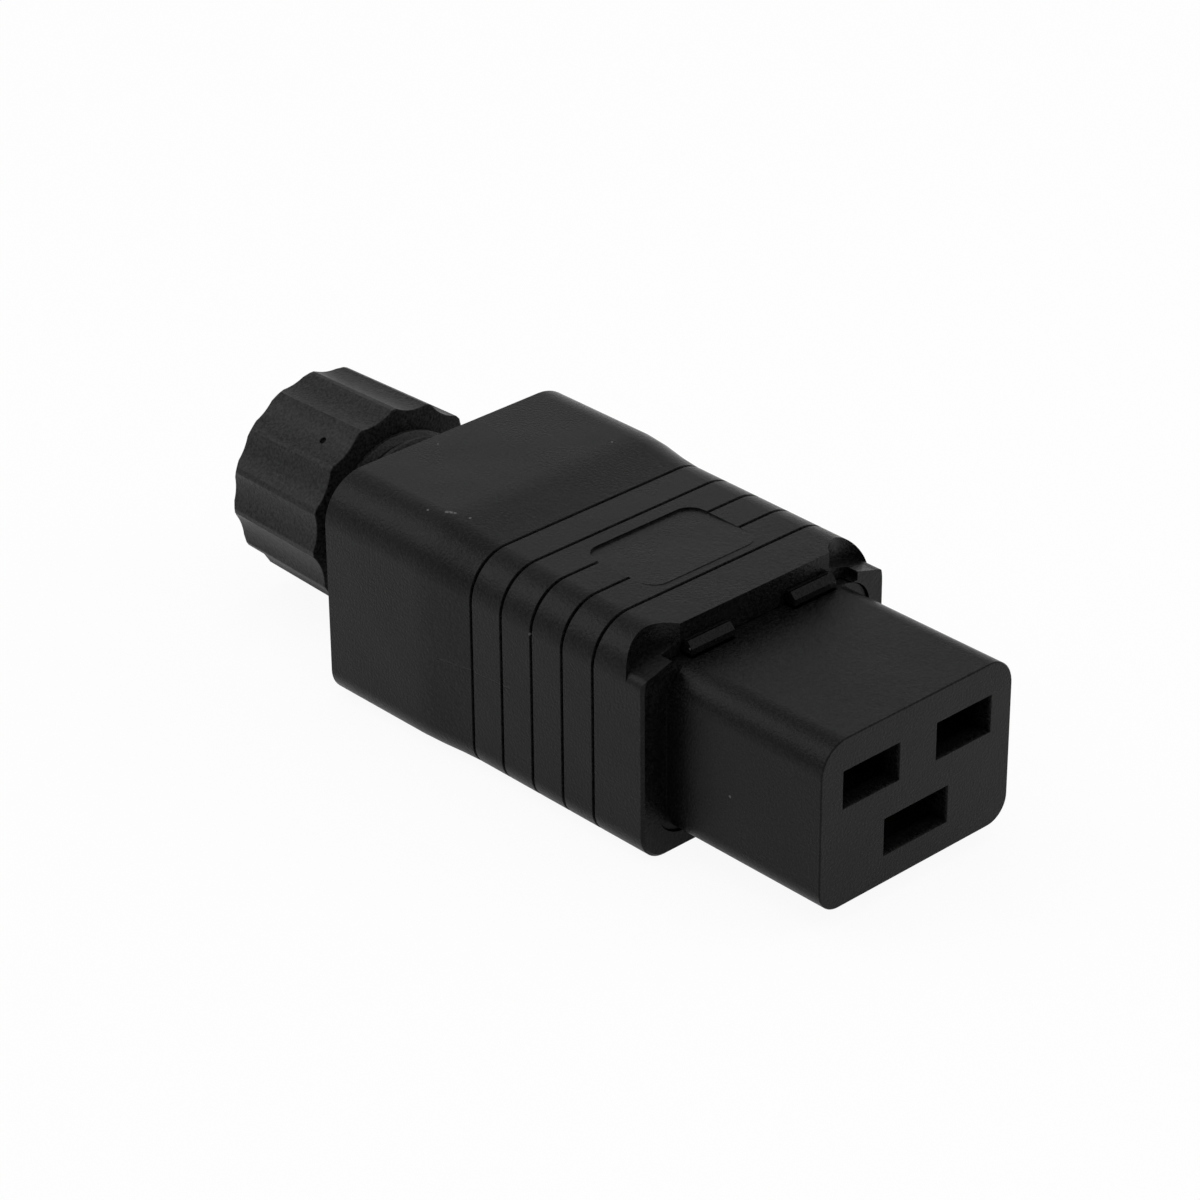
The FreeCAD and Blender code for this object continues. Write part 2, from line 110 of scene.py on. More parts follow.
def moulding_grain_group():
    """Fine spark-eroded grain over slow waves of the moulded wall, with softened edges."""
    tree, start, end = shader_group(
        "moulding_grain",
        {"Place": ("Vector", None), "Grain size": ("Float", 0.3), "Grain depth": ("Float", 0.01),
         "Wave depth": ("Float", 0.01), "Edge radius": ("Float", 0.1)},
        {"Normal": "Vector", "Grain": "Float"})
    edge = add(tree, "ShaderNodeBevel", samples=6)
    to_metres = add(tree, "ShaderNodeMath", {1: MM}, operation="MULTIPLY")
    join(tree, start, "Edge radius", to_metres, 0)
    tree.links.new(to_metres.outputs[0], edge.inputs["Radius"])
    density = add(tree, "ShaderNodeMath", {0: 1.0 / MM}, operation="DIVIDE")
    join(tree, start, "Grain size", density, 1)
    grain = add(tree, "ShaderNodeTexNoise", {"Detail": 3.0, "Roughness": 0.6})
    join(tree, start, "Place", grain, "Vector")
    tree.links.new(density.outputs[0], grain.inputs["Scale"])
    wave = add(tree, "ShaderNodeTexNoise", {"Scale": 130.0, "Detail": 1.5, "Roughness": 0.45})
    join(tree, start, "Place", wave, "Vector")
    slow = add(tree, "ShaderNodeBump", {"Distance": 0.11 * MM})
    join(tree, start, "Wave depth", slow, "Strength")
    join(tree, wave, "Fac", slow, "Height")
    tree.links.new(edge.outputs["Normal"], slow.inputs["Normal"])
    fine = add(tree, "ShaderNodeBump", {"Distance": 0.06 * MM})
    join(tree, start, "Grain depth", fine, "Strength")
    join(tree, grain, "Fac", fine, "Height")
    tree.links.new(slow.outputs["Normal"], fine.inputs["Normal"])
    join(tree, fine, "Normal", end, "Normal")
    speckle = add(tree, "ShaderNodeMapRange", {"From Min": 0.34, "From Max": 0.66})
    join(tree, grain, "Fac", speckle, "Value")
    join(tree, speckle, "Result", end, "Grain")
    return tree


def handling_group():
    """Cloudy smears left by fingers: 0 clean, 1 smeared."""
    tree, start, end = shader_group(
        "handling", {"Place": ("Vector", None), "Smear size": ("Float", 12.0), "Cover": ("Float", 0.5)},
        {"Mask": "Float"})
    density = add(tree, "ShaderNodeMath", {0: 1.0 / MM}, operation="DIVIDE")
    join(tree, start, "Smear size", density, 1)
    cloud = add(tree, "ShaderNodeTexNoise", {"Detail": 4.0, "Roughness": 0.55, "Distortion": 0.6})
    join(tree, start, "Place", cloud, "Vector")
    tree.links.new(density.outputs[0], cloud.inputs["Scale"])
    low = add(tree, "ShaderNodeMath", {0: 0.75}, operation="SUBTRACT")
    high = add(tree, "ShaderNodeMath", {1: 0.3}, operation="ADD")
    half = add(tree, "ShaderNodeMath", {1: 0.4}, operation="MULTIPLY")
    join(tree, start, "Cover", half, 0)
    tree.links.new(half.outputs[0], low.inputs[1])
    tree.links.new(low.outputs[0], high.inputs[0])
    shape = add(tree, "ShaderNodeMapRange", interpolation_type="SMOOTHSTEP")
    join(tree, cloud, "Fac", shape, "Value")
    tree.links.new(low.outputs[0], shape.inputs["From Min"])
    tree.links.new(high.outputs[0], shape.inputs["From Max"])
    join(tree, shape, "Result", end, "Mask")
    return tree


def dust_group():
    """Sparse pale specks of dust: a cell pattern of which only a few cells carry a speck."""
    tree, start, end = shader_group(
        "dust", {"Place": ("Vector", None), "Spacing": ("Float", 4.0), "Speck size": ("Float", 0.1),
                 "Share": ("Float", 0.3)}, {"Mask": "Float"})
    density = add(tree, "ShaderNodeMath", {0: 1.0 / MM}, operation="DIVIDE")
    join(tree, start, "Spacing", density, 1)
    cells = add(tree, "ShaderNodeTexVoronoi", {"Randomness": 1.0})
    join(tree, start, "Place", cells, "Vector")
    tree.links.new(density.outputs[0], cells.inputs["Scale"])
    reach = add(tree, "ShaderNodeMath", operation="DIVIDE")
    join(tree, start, "Speck size", reach, 0)
    join(tree, start, "Spacing", reach, 1)
    spot = add(tree, "ShaderNodeMath", operation="LESS_THAN")
    join(tree, cells, "Distance", spot, 0)
    tree.links.new(reach.outputs[0], spot.inputs[1])
    pick = add(tree, "ShaderNodeSeparateColor")
    join(tree, cells, "Color", pick, "Color")
    chosen = add(tree, "ShaderNodeMath", operation="LESS_THAN")
    join(tree, pick, "Red", chosen, 0)
    join(tree, start, "Share", chosen, 1)
    both = add(tree, "ShaderNodeMath", operation="MULTIPLY")
    tree.links.new(spot.outputs[0], both.inputs[0])
    tree.links.new(chosen.outputs[0], both.inputs[1])
    join(tree, both, "Value", end, "Mask")
    return tree


def parting_line_group():
    """Hairline left by the mould at one height, over a stretch of the length: 1 on the line."""
    tree, start, end = shader_group(
        "parting_line",
        {"Place": ("Vector", None), "Height": ("Float", 0.6), "Line width": ("Float", 0.1),
         "From": ("Float", -51.0), "To": ("Float", -40.0), "Tilt": ("Float", 0.0)},
        {"Mask": "Float"})
    scaled = add(tree, "ShaderNodeVectorMath", {"Scale": 1.0 / MM}, operation="SCALE")
    join(tree, start, "Place", scaled, 0)
    axes = add(tree, "ShaderNodeSeparateXYZ")
    tree.links.new(scaled.outputs[0], axes.inputs[0])
    drift = add(tree, "ShaderNodeTexNoise", {"Scale": 0.4, "Detail": 1.0}, noise_dimensions="1D")
    join(tree, axes, "X", drift, "W")
    wander = add(tree, "ShaderNodeMath", {1: 0.25, 2: -0.125}, operation="MULTIPLY_ADD")
    join(tree, drift, "Fac", wander, 0)
    along = add(tree, "ShaderNodeMath", operation="SUBTRACT")
    join(tree, axes, "X", along, 0)
    join(tree, start, "From", along, 1)
    climb = add(tree, "ShaderNodeMath", operation="MULTIPLY_ADD")
    tree.links.new(along.outputs[0], climb.inputs[0])
    join(tree, start, "Tilt", climb, 1)
    join(tree, start, "Height", climb, 2)
    level = add(tree, "ShaderNodeMath", operation="ADD")
    tree.links.new(climb.outputs[0], level.inputs[0])
    tree.links.new(wander.outputs[0], level.inputs[1])
    off = add(tree, "ShaderNodeMath", operation="SUBTRACT")
    join(tree, axes, "Z", off, 0)
    tree.links.new(level.outputs[0], off.inputs[1])
    away = add(tree, "ShaderNodeMath", operation="ABSOLUTE")
    tree.links.new(off.outputs[0], away.inputs[0])
    near = add(tree, "ShaderNodeMapRange", {"From Min": 0.0, "To Min": 1.0, "To Max": 0.0},
               interpolation_type="SMOOTHSTEP")
    tree.links.new(away.outputs[0], near.inputs["Value"])
    join(tree, start, "Line width", near, "From Max")
    after = add(tree, "ShaderNodeMath", operation="GREATER_THAN")
    join(tree, axes, "X", after, 0)
    join(tree, start, "From", after, 1)
    before = add(tree, "ShaderNodeMath", operation="LESS_THAN")
    join(tree, axes, "X", before, 0)
    join(tree, start, "To", before, 1)
    span = add(tree, "ShaderNodeMath", operation="MULTIPLY")
    tree.links.new(after.outputs[0], span.inputs[0])
    tree.links.new(before.outputs[0], span.inputs[1])
    both = add(tree, "ShaderNodeMath", operation="MULTIPLY")
    tree.links.new(near.outputs[0], both.inputs[0])
    tree.links.new(span.outputs[0], both.inputs[1])
    join(tree, both, "Value", end, "Mask")
    return tree


def nick_and_glint_group():
    """One small pale spot, for nicks and for a painted glint: 1 within a ragged radius of its centre."""
    tree, start, end = shader_group(
        "nick_and_glint", {"Place": ("Vector", None), "Centre": ("Vector", None), "Radius": ("Float", 0.2)},
        {"Mask": "Float"})
    ragged = add(tree, "ShaderNodeTexNoise", {"Scale": 5000.0, "Detail": 2.0})
    join(tree, start, "Place", ragged, "Vector")
    apart = add(tree, "ShaderNodeVectorMath", operation="DISTANCE")
    join(tree, start, "Place", apart, 0)
    join(tree, start, "Centre", apart, 1)
    reach = add(tree, "ShaderNodeMath", operation="MULTIPLY")
    join(tree, start, "Radius", reach, 0)
    join(tree, ragged, "Fac", reach, 1)
    limit = add(tree, "ShaderNodeMath", {1: 2.0 * MM}, operation="MULTIPLY")
    tree.links.new(reach.outputs[0], limit.inputs[0])
    inside = add(tree, "ShaderNodeMath", operation="LESS_THAN")
    join(tree, apart, "Value", inside, 0)
    tree.links.new(limit.outputs[0], inside.inputs[1])
    join(tree, inside, "Value", end, "Mask")
    return tree


GRAIN = moulding_grain_group()
NICK_AND_GLINT = nick_and_glint_group()
HANDLING = handling_group()
DUST = dust_group()
PARTING = parting_line_group()


# --- finishes --------------------------------------------------------------------------------------------
def empty_material(name):
    material = bpy.data.materials.new(name)
    material.use_nodes = True
    tree = material.node_tree
    tree.nodes.clear()
    shader = add(tree, "ShaderNodeBsdfPrincipled")
    join(tree, shader, "BSDF", add(tree, "ShaderNodeOutputMaterial"), "Surface")
    place = add(tree, "ShaderNodeTexCoord")
    return material, tree, shader, place


def use_group(tree, group, place, values):
    node = add(tree, "ShaderNodeGroup", node_tree=group)
    join(tree, place, "Object", node, "Place")
    for label, value in values.items():
        node.inputs[label].default_value = value
    return node


MIX_LOW, MIX_HIGH, MIX_RESULT = 6, 7, 2         # the colour sockets of a mix node
SPECK_GREY, NICK_AND_GLINT_GREY = 0.30, 0.085             # how pale dust, nicks and the painted glint are


def blend_colour(tree, mask, out, low, high):
    """Colour between low and high by a mask; low is a colour or another mix node."""
    mix = add(tree, "ShaderNodeMix", data_type="RGBA", clamp_factor=True)
    join(tree, mask, out, mix, "Factor")
    if isinstance(low, tuple):
        mix.inputs[MIX_LOW].default_value = low
    else:
        tree.links.new(low.outputs[MIX_RESULT], mix.inputs[MIX_LOW])
    mix.inputs[MIX_HIGH].default_value = high
    return mix


def grey(level, warmth=0.0):
    return (level * (1 + warmth), level, level * (1 - warmth), 1.0)


def moulded_plastic(name, level, rough, gloss, grain, dust, line=None, marks=()):
    """Black moulding with mottled grain, smears and dust; line adds the mould's hairline, marks the nicks and
    any painted glint.
    """
    material, tree, shader, place = empty_material(name)
    shader.inputs["Specular IOR Level"].default_value = gloss
    surface = use_group(tree, GRAIN, place, grain)
    smears = use_group(tree, HANDLING, place, {"Smear size": 14.0, "Cover": 0.55})
    specks = use_group(tree, DUST, place, dust)
    mottle = blend_colour(tree, surface, "Grain", grey(level * 0.10), grey(level * 2.1))
    tone = blend_colour(tree, smears, "Mask", mottle, grey(level * 1.5, 0.02))
    tone = blend_colour(tree, specks, "Mask", tone, grey(SPECK_GREY, 0.02))
    # each mark is painted pale: nicks, and on the carrier also a painted glint
    for centre, radius in marks:
        mark = use_group(tree, NICK_AND_GLINT, place, {"Centre": centre, "Radius": radius})
        tone = blend_colour(tree, mark, "Mask", tone, grey(NICK_AND_GLINT_GREY))
    tree.links.new(tone.outputs[MIX_RESULT], shader.inputs["Base Color"])
    dull = add(tree, "ShaderNodeMapRange", {"To Min": rough, "To Max": rough + 0.08})
    join(tree, smears, "Mask", dull, "Value")
    join(tree, dull, "Result", shader, "Roughness")
    if not line:
        join(tree, surface, "Normal", shader, "Normal")
        return material
    hairline = use_group(tree, PARTING, place, line)
    scratch = add(tree, "ShaderNodeBump", {"Strength": 1.0, "Distance": 0.14 * MM}, invert=True)
    join(tree, hairline, "Mask", scratch, "Height")
    join(tree, surface, "Normal", scratch, "Normal")
    join(tree, scratch, "Normal", shader, "Normal")
    return material


def metal(name, colour, worn, rough, streak):
    """Stamped or turned metal: faint streaks along the piece and cloudy tarnish."""
    material, tree, shader, place = empty_material(name)
    shader.inputs["Metallic"].default_value = 1.0
    stretch = add(tree, "ShaderNodeMapping", {"Scale": (0.12, 1.0, 1.0)})
    join(tree, place, "Object", stretch, "Vector")
    lines = add(tree, "ShaderNodeTexNoise", {"Scale": streak, "Detail": 3.0, "Roughness": 0.6})
    join(tree, stretch, "Vector", lines, "Vector")
    tarnish = use_group(tree, HANDLING, place, {"Smear size": 5.0, "Cover": 0.6})
    tone = blend_colour(tree, tarnish, "Mask", colour, worn)
    tree.links.new(tone.outputs[MIX_RESULT], shader.inputs["Base Color"])
    dull = add(tree, "ShaderNodeMapRange", {"To Min": rough * 0.8, "To Max": rough * 1.3})
    join(tree, lines, "Fac", dull, "Value")
    join(tree, dull, "Result", shader, "Roughness")
    relief = add(tree, "ShaderNodeBump", {"Strength": 0.15, "Distance": 0.02 * MM})
    join(tree, lines, "Fac", relief, "Height")
    join(tree, relief, "Normal", shader, "Normal")
    return material


SHELL_GRAIN = {"Grain size": 0.30, "Grain depth": 1.0, "Wave depth": 1.0, "Edge radius": 0.06}
NOSE_GRAIN = {"Grain size": 0.26, "Grain depth": 0.9, "Wave depth": 0.8, "Edge radius": 0.06}
NUT_GRAIN = {"Grain size": 0.32, "Grain depth": 1.0, "Wave depth": 1.0, "Edge radius": 0.25}
SHELL_NICKS = [((-0.05619, -0.01375, 0.01394), 0.14), ((-0.05431, -0.01281, 0.01408), 0.19),
               ((-0.05395, -0.01255, 0.01406), 0.20), ((-0.05363, -0.01231, 0.01404), 0.15),
               ((-0.05193, -0.01177, 0.01391), 0.15), ((-0.06652, -0.00334, 0.01410), 0.12),
               ((-0.05411, 0.01024, 0.01408), 0.12), ((-0.03720, -0.01700, 0.00835), 0.15)]
# On the nose, the first mark is a nick and the second is a painted glint: a highlight painted pale at the
# near latch's left end.
NOSE_NICKS_AND_GLINT = [((-0.0123, -0.0135, -0.0011), 0.16), ((-0.02135, -0.01015, 0.01043), 0.14)]
HAIRLINE = {"Height": 0.02, "Line width": 0.13, "From": -51.05, "To": -40.27, "Tilt": 0.067}
SHELL_BLACK = moulded_plastic("shell_black", 0.0036, 0.27, 0.14, SHELL_GRAIN,
                              {"Spacing": 6.5, "Speck size": 0.09, "Share": 0.20},
                              HAIRLINE, SHELL_NICKS)
CARRIER_BLACK = moulded_plastic("carrier_black", 0.0036, 0.27, 0.13, NOSE_GRAIN,
                                {"Spacing": 9.0, "Speck size": 0.09, "Share": 0.10}, marks=NOSE_NICKS_AND_GLINT)
NUT_BLACK = moulded_plastic("nut_black", 0.0110, 0.38, 0.155, NUT_GRAIN,
                            {"Spacing": 7.0, "Speck size": 0.08, "Share": 0.10})
# The thread is the shell's own black moulding, painted paler than the shell so that its crests read as lit
# arcs: painted sheen.
THREAD_PAINTED_SHEEN = moulded_plastic("thread_painted_sheen", 0.0100, 0.30, 0.40, NOSE_GRAIN,
                               {"Spacing": 7.0, "Speck size": 0.08, "Share": 0.10})
GLAND_BLACK = moulded_plastic("gland_black", 0.0060, 0.40, 0.20, NOSE_GRAIN,
                              {"Spacing": 9.0, "Speck size": 0.08, "Share": 0.10})
SEAL_BLACK = moulded_plastic("seal_black", 0.012, 0.75, 0.25,
                             {"Grain size": 0.35, "Grain depth": 0.5, "Wave depth": 0.3, "Edge radius": 0.2},
                             {"Spacing": 4.0, "Speck size": 0.09, "Share": 0.3})
BRASS = metal("stamped_brass", (0.72, 0.53, 0.25, 1.0), (0.50, 0.33, 0.14, 1.0), 0.30, 900.0)
SPRING_STEEL = metal("spring_steel", (0.45, 0.45, 0.46, 1.0), (0.30, 0.30, 0.32, 1.0), 0.32, 1200.0)
SCREW_STEEL = metal("plated_steel", (0.58, 0.58, 0.57, 1.0), (0.45, 0.44, 0.40, 1.0), 0.28, 1500.0)


# --- pieces that carry the solid parts over, with smoothed walls -----------------------------------------
def settle_normals(mesh, crease):
    """Each corner shades with the walls around it within the crease angle, the larger walls counting more."""
    limit = math.cos(math.radians(crease))
    facing = [face.normal.copy() for face in mesh.polygons]
    around = [[] for _ in mesh.vertices]
    for face in mesh.polygons:
        face.use_smooth = True
        for corner in face.vertices:
            around[corner].append(face.index)
    normals = []
    for face in mesh.polygons:
        for corner in face.vertices:
            blend = Vector()
            for other in around[corner]:
                if facing[other].dot(facing[face.index]) > limit:
                    blend += facing[other] * mesh.polygons[other].area
            normals.append(blend.normalized())
    mesh.normals_split_custom_set(normals)


def dress(node, name, material, crease=30.0, finish=None):
    """A merged copy of a solid part whose rounded walls shade smoothly and whose edges stay crisp."""
    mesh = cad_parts[node].data.copy()
    mesh.name = name
    cleaner = bmesh.new()
    cleaner.from_mesh(mesh)
    bmesh.ops.remove_doubles(cleaner, verts=cleaner.verts, dist=WELD)
    bmesh.ops.dissolve_limit(cleaner, angle_limit=math.radians(FLAT_WITHIN), verts=cleaner.verts,
                             edges=cleaner.edges, use_dissolve_boundaries=False)
    cleaner.to_mesh(mesh)
    cleaner.free()
    mesh.materials.clear()
    mesh.materials.append(material)
    piece = bpy.data.objects.new(name, mesh)
    bpy.context.scene.collection.objects.link(piece)
    if finish:
        finish(piece)
        mesh = piece.data
    for face in mesh.polygons:
        face.material_index = 0
    settle_normals(mesh, crease)
    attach(piece, "root")
    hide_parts(node)
    return piece


# --- cuts and corners of the dressed copies --------------------------------------------------------------
def rounded_outline(length, width, radius, steps=8):
    """Corner points of a rounded rectangle about the origin, in order."""
    points = []
    for quarter, (side_x, side_y) in enumerate(((1, 1), (-1, 1), (-1, -1), (1, -1))):
        for step in range(steps + 1):
            angle = math.radians(90) * (quarter + step / steps)
            points.append((side_x * (length / 2 - radius) + radius * math.cos(angle),
                           side_y * (width / 2 - radius) + radius * math.sin(angle)))
    return points


def plate_cutter():
    """Room over the blank plate: it leaves the plate flush in front and set in behind."""
    ring = rounded_outline(PLATE_LENGTH + PLATE_MARGIN, PLATE_WIDTH + PLATE_MARGIN, PLATE_RADIUS)
    count = len(ring)
    slope = (PLATE_FRONT - PLATE_REAR) / PLATE_LENGTH
    low = [(PLATE_X + x, y, PLATE_REAR + slope * (x + PLATE_LENGTH / 2)) for x, y in ring]
    high = [(PLATE_X + x, y, SKY) for x, y in ring]
    sides = [(i, (i + 1) % count, count + (i + 1) % count, count + i) for i in range(count)]
    return low + high, sides + [tuple(reversed(range(count))), tuple(range(count, 2 * count))]


def scoop_floor(y):
    """Height of a scoop's floor: it rises inwards and rolls over at the outer edge."""
    start = SCOOP_SIDE - SCOOP_EASE
    if y < start:
        return SCOOP_FLOOR + SCOOP_RISE * (SCOOP_SIDE - y)
    fall = SCOOP_EASE - math.sqrt(max(SCOOP_EASE ** 2 - (y - start) ** 2, 0.0))
    return SCOOP_FLOOR + SCOOP_RISE * SCOOP_EASE - fall


def scoop_cutter(side, strips=72):
    """Round finger scoop beside the lip, in strips across it."""
    verts = []
    for i in range(strips + 1):
        angle = math.pi * i / strips
        y = SCOOP_Y - SCOOP_RADIUS * math.cos(angle)
        half = max(SCOOP_RADIUS * math.sin(angle), 0.002 * MM)
        floor = scoop_floor(y)
        verts += [(SCOOP_X - half, side * y, floor), (SCOOP_X + half, side * y, floor),
                  (SCOOP_X + half, side * y, SKY), (SCOOP_X - half, side * y, SKY)]
    faces = [(4 * i + a, 4 * i + b, 4 * i + 4 + b, 4 * i + 4 + a)
             for i in range(strips) for a, b in ((0, 1), (1, 2), (2, 3), (3, 0))]
    return verts, faces + [(3, 2, 1, 0), tuple(range(4 * strips, 4 * strips + 4))]


def cut(piece, shape):
    """Takes a closed form away from the dressed copy of a piece."""
    verts, faces = shape
    mesh = bpy.data.meshes.new("cutter")
    mesh.from_pydata(verts, [], faces)
    tidy = bmesh.new()
    tidy.from_mesh(mesh)
    bmesh.ops.recalc_face_normals(tidy, faces=tidy.faces)
    tidy.to_mesh(mesh)
    tidy.free()
    cutter = bpy.data.objects.new("cutter", mesh)
    bpy.context.scene.collection.objects.link(cutter)
    knife = piece.modifiers.new("cut", "BOOLEAN")
    knife.operation, knife.solver, knife.object = "DIFFERENCE", "EXACT", cutter
    bpy.context.view_layer.update()
    result = bpy.data.meshes.new_from_object(piece.evaluated_get(bpy.context.evaluated_depsgraph_get()))
    piece.modifiers.remove(knife)
    bpy.data.objects.remove(cutter)
    piece.data = result


def crisp_shell(shell):
    """Scoops with true round walls, and the plate set in at its rear edge."""
    for shape in (scoop_cutter(-1), scoop_cutter(1), plate_cutter()):
        cut(shell, shape)


def thumb_tips(carrier):
    """Thumb tips of the snap latches slope down in front of their grip groove."""
    for vertex in carrier.data.vertices:
        x, y, z = vertex.co / MM
        for (old_x, old_z), (new_x, new_z) in THUMB_TIP:
            if abs(x - old_x) < TIP_NEAR and abs(z - old_z) < TIP_NEAR and TIP_FROM < abs(y) < TIP_TO:
                vertex.co.x, vertex.co.z = new_x * MM, new_z * MM


# --- every solid part in its dressed copy ----------------------------------------------------------------
dress("housing_shell", "shell_moulding", SHELL_BLACK, finish=crisp_shell)
dress("contact_carrier", "carrier_moulding", CARRIER_BLACK, crease=40.0, finish=thumb_tips)
dress("carrier_rear_cover", "wiring_cover", CARRIER_BLACK)
dress("rear_cover_screw", "cover_screw", SCREW_STEEL)
dress("gland_nut", "fluted_nut", NUT_BLACK, crease=24.0)
dress("gland_collet", "split_sleeve", GLAND_BLACK)
dress("gland_washer", "slip_ring", GLAND_BLACK)
dress("gland_seal", "rubber_bush", SEAL_BLACK)
for pole in ("line", "neutral", "earth"):
    dress(pole + "_contact", pole + "_fork", BRASS)
    dress(pole + "_contact_spring", pole + "_grip_ring", SPRING_STEEL)
    dress(pole + "_clamp_frame", pole + "_wire_clamp", BRASS)
    dress(pole + "_pressure_plate", pole + "_wire_plate", SCREW_STEEL)
    dress(pole + "_terminal_screw", pole + "_clamp_screw", SCREW_STEEL)


# --- thread on the gland boss ----------------------------------------------------------------------------
def thread_tree(material):
    """Helical ridge: a trapezoid swept along a spiral about the gland axis."""
    tree = bpy.data.node_groups.new("gland_thread", "GeometryNodeTree")
    tree.interface.new_socket("Geometry", in_out="OUTPUT", socket_type="NodeSocketGeometry")
    for label in ("Length", "Pitch", "Core radius", "Crest radius", "Start", "Axis height"):
        tree.interface.new_socket(label, in_out="INPUT", socket_type="NodeSocketFloat")
    start, end = tree.nodes.new("NodeGroupInput"), tree.nodes.new("NodeGroupOutput")
    turns = add(tree, "ShaderNodeMath", operation="DIVIDE")
    join(tree, start, "Length", turns, 0)
    join(tree, start, "Pitch", turns, 1)
    spiral = add(tree, "GeometryNodeCurveSpiral", {"Resolution": 72})
    tree.links.new(turns.outputs[0], spiral.inputs["Rotations"])
    join(tree, start, "Core radius", spiral, "Start Radius")
    join(tree, start, "Core radius", spiral, "End Radius")
    join(tree, start, "Length", spiral, "Height")
    upright = add(tree, "GeometryNodeSetCurveNormal", mode="Z_UP")
    join(tree, spiral, "Curve", upright, "Curve")
    rise = add(tree, "ShaderNodeMath", operation="SUBTRACT")
    join(tree, start, "Crest radius", rise, 0)
    join(tree, start, "Core radius", rise, 1)
    foot = add(tree, "ShaderNodeMath", {1: 0.72}, operation="MULTIPLY")
    join(tree, start, "Pitch", foot, 0)
    crest = add(tree, "ShaderNodeMath", {1: 0.20}, operation="MULTIPLY")
    join(tree, start, "Pitch", crest, 0)
    lift = add(tree, "ShaderNodeMath", {1: 0.5}, operation="MULTIPLY")
    tree.links.new(rise.outputs[0], lift.inputs[0])
    ridge = add(tree, "GeometryNodeCurvePrimitiveQuadrilateral", mode="TRAPEZOID")
    tree.links.new(foot.outputs[0], ridge.inputs["Bottom Width"])
    tree.links.new(crest.outputs[0], ridge.inputs["Top Width"])
    tree.links.new(rise.outputs[0], ridge.inputs["Height"])
    ridge.inputs["Offset"].default_value = 0.0
    offset = add(tree, "ShaderNodeCombineXYZ")
    tree.links.new(lift.outputs[0], offset.inputs["Y"])
    seat = add(tree, "GeometryNodeTransform")
    join(tree, ridge, "Curve", seat, "Geometry")
    tree.links.new(offset.outputs[0], seat.inputs["Translation"])
    turn = add(tree, "GeometryNodeTransform", {"Rotation": (0.0, 0.0, math.radians(90))})
    join(tree, seat, "Geometry", turn, "Geometry")
    sweep = add(tree, "GeometryNodeCurveToMesh", {"Fill Caps": True})
    join(tree, upright, "Curve", sweep, "Curve")
    join(tree, turn, "Geometry", sweep, "Profile Curve")
    spot = add(tree, "ShaderNodeCombineXYZ")
    join(tree, start, "Start", spot, "X")
    join(tree, start, "Axis height", spot, "Z")
    along = add(tree, "GeometryNodeTransform", {"Rotation": (0.0, math.radians(-90), 0.0)})
    join(tree, sweep, "Mesh", along, "Geometry")
    tree.links.new(spot.outputs[0], along.inputs["Translation"])
    real = add(tree, "GeometryNodeRealizeInstances")
    join(tree, along, "Geometry", real, "Geometry")
    paint = add(tree, "GeometryNodeSetMaterial", {"Material": material})
    join(tree, real, "Geometry", paint, "Geometry")
    join(tree, paint, "Geometry", end, "Geometry")
    return tree


def grown(name, tree, values):
    """The result of a geometry tree as a plain mesh piece."""
    seed = bpy.data.objects.new(name + "_seed", bpy.data.meshes.new(name + "_seed"))
    bpy.context.scene.collection.objects.link(seed)
    grower = seed.modifiers.new(name, "NODES")
    grower.node_group = tree
    for item in tree.interface.items_tree:
        if item.in_out == "INPUT" and item.name in values:
            grower[item.identifier] = values[item.name]
    bpy.context.view_layer.update()
    depsgraph = bpy.context.evaluated_depsgraph_get()
    mesh = bpy.data.meshes.new_from_object(seed.evaluated_get(depsgraph))
    mesh.name = name
    bpy.data.objects.remove(seed)
    piece = bpy.data.objects.new(name, mesh)
    bpy.context.scene.collection.objects.link(piece)
    return piece


thread = grown("gland_thread", thread_tree(THREAD_PAINTED_SHEEN), {
    "Length": SHELL_REAR_FACE - NUT_MOUTH - 0.2 * MM, "Pitch": THREAD_PITCH, "Core radius": THREAD_CORE,
    "Crest radius": THREAD_CREST, "Start": SHELL_REAR_FACE - 0.5 * MM, "Axis height": GLAND_HEIGHT})
for face in thread.data.polygons:
    face.use_smooth = True
thread.data.set_sharp_from_angle(angle=math.radians(35))
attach(thread, "root")


# --- floor, surroundings and lamps -----------------------------------------------------------------------
def background_share(tree, direct, mirrored):
    """How white the background is for straight rays, and for mirrored or refracted ones."""
    path = add(tree, "ShaderNodeLightPath")
    bounced = add(tree, "ShaderNodeMath", operation="MAXIMUM")
    join(tree, path, "Is Glossy Ray", bounced, 0)
    join(tree, path, "Is Transmission Ray", bounced, 1)
    part = add(tree, "ShaderNodeMath", {1: mirrored}, operation="MULTIPLY")
    tree.links.new(bounced.outputs[0], part.inputs[0])
    share = add(tree, "ShaderNodeMath", {1: direct}, operation="MULTIPLY_ADD")
    join(tree, path, "Is Camera Ray", share, 0)
    tree.links.new(part.outputs[0], share.inputs[2])
    return share


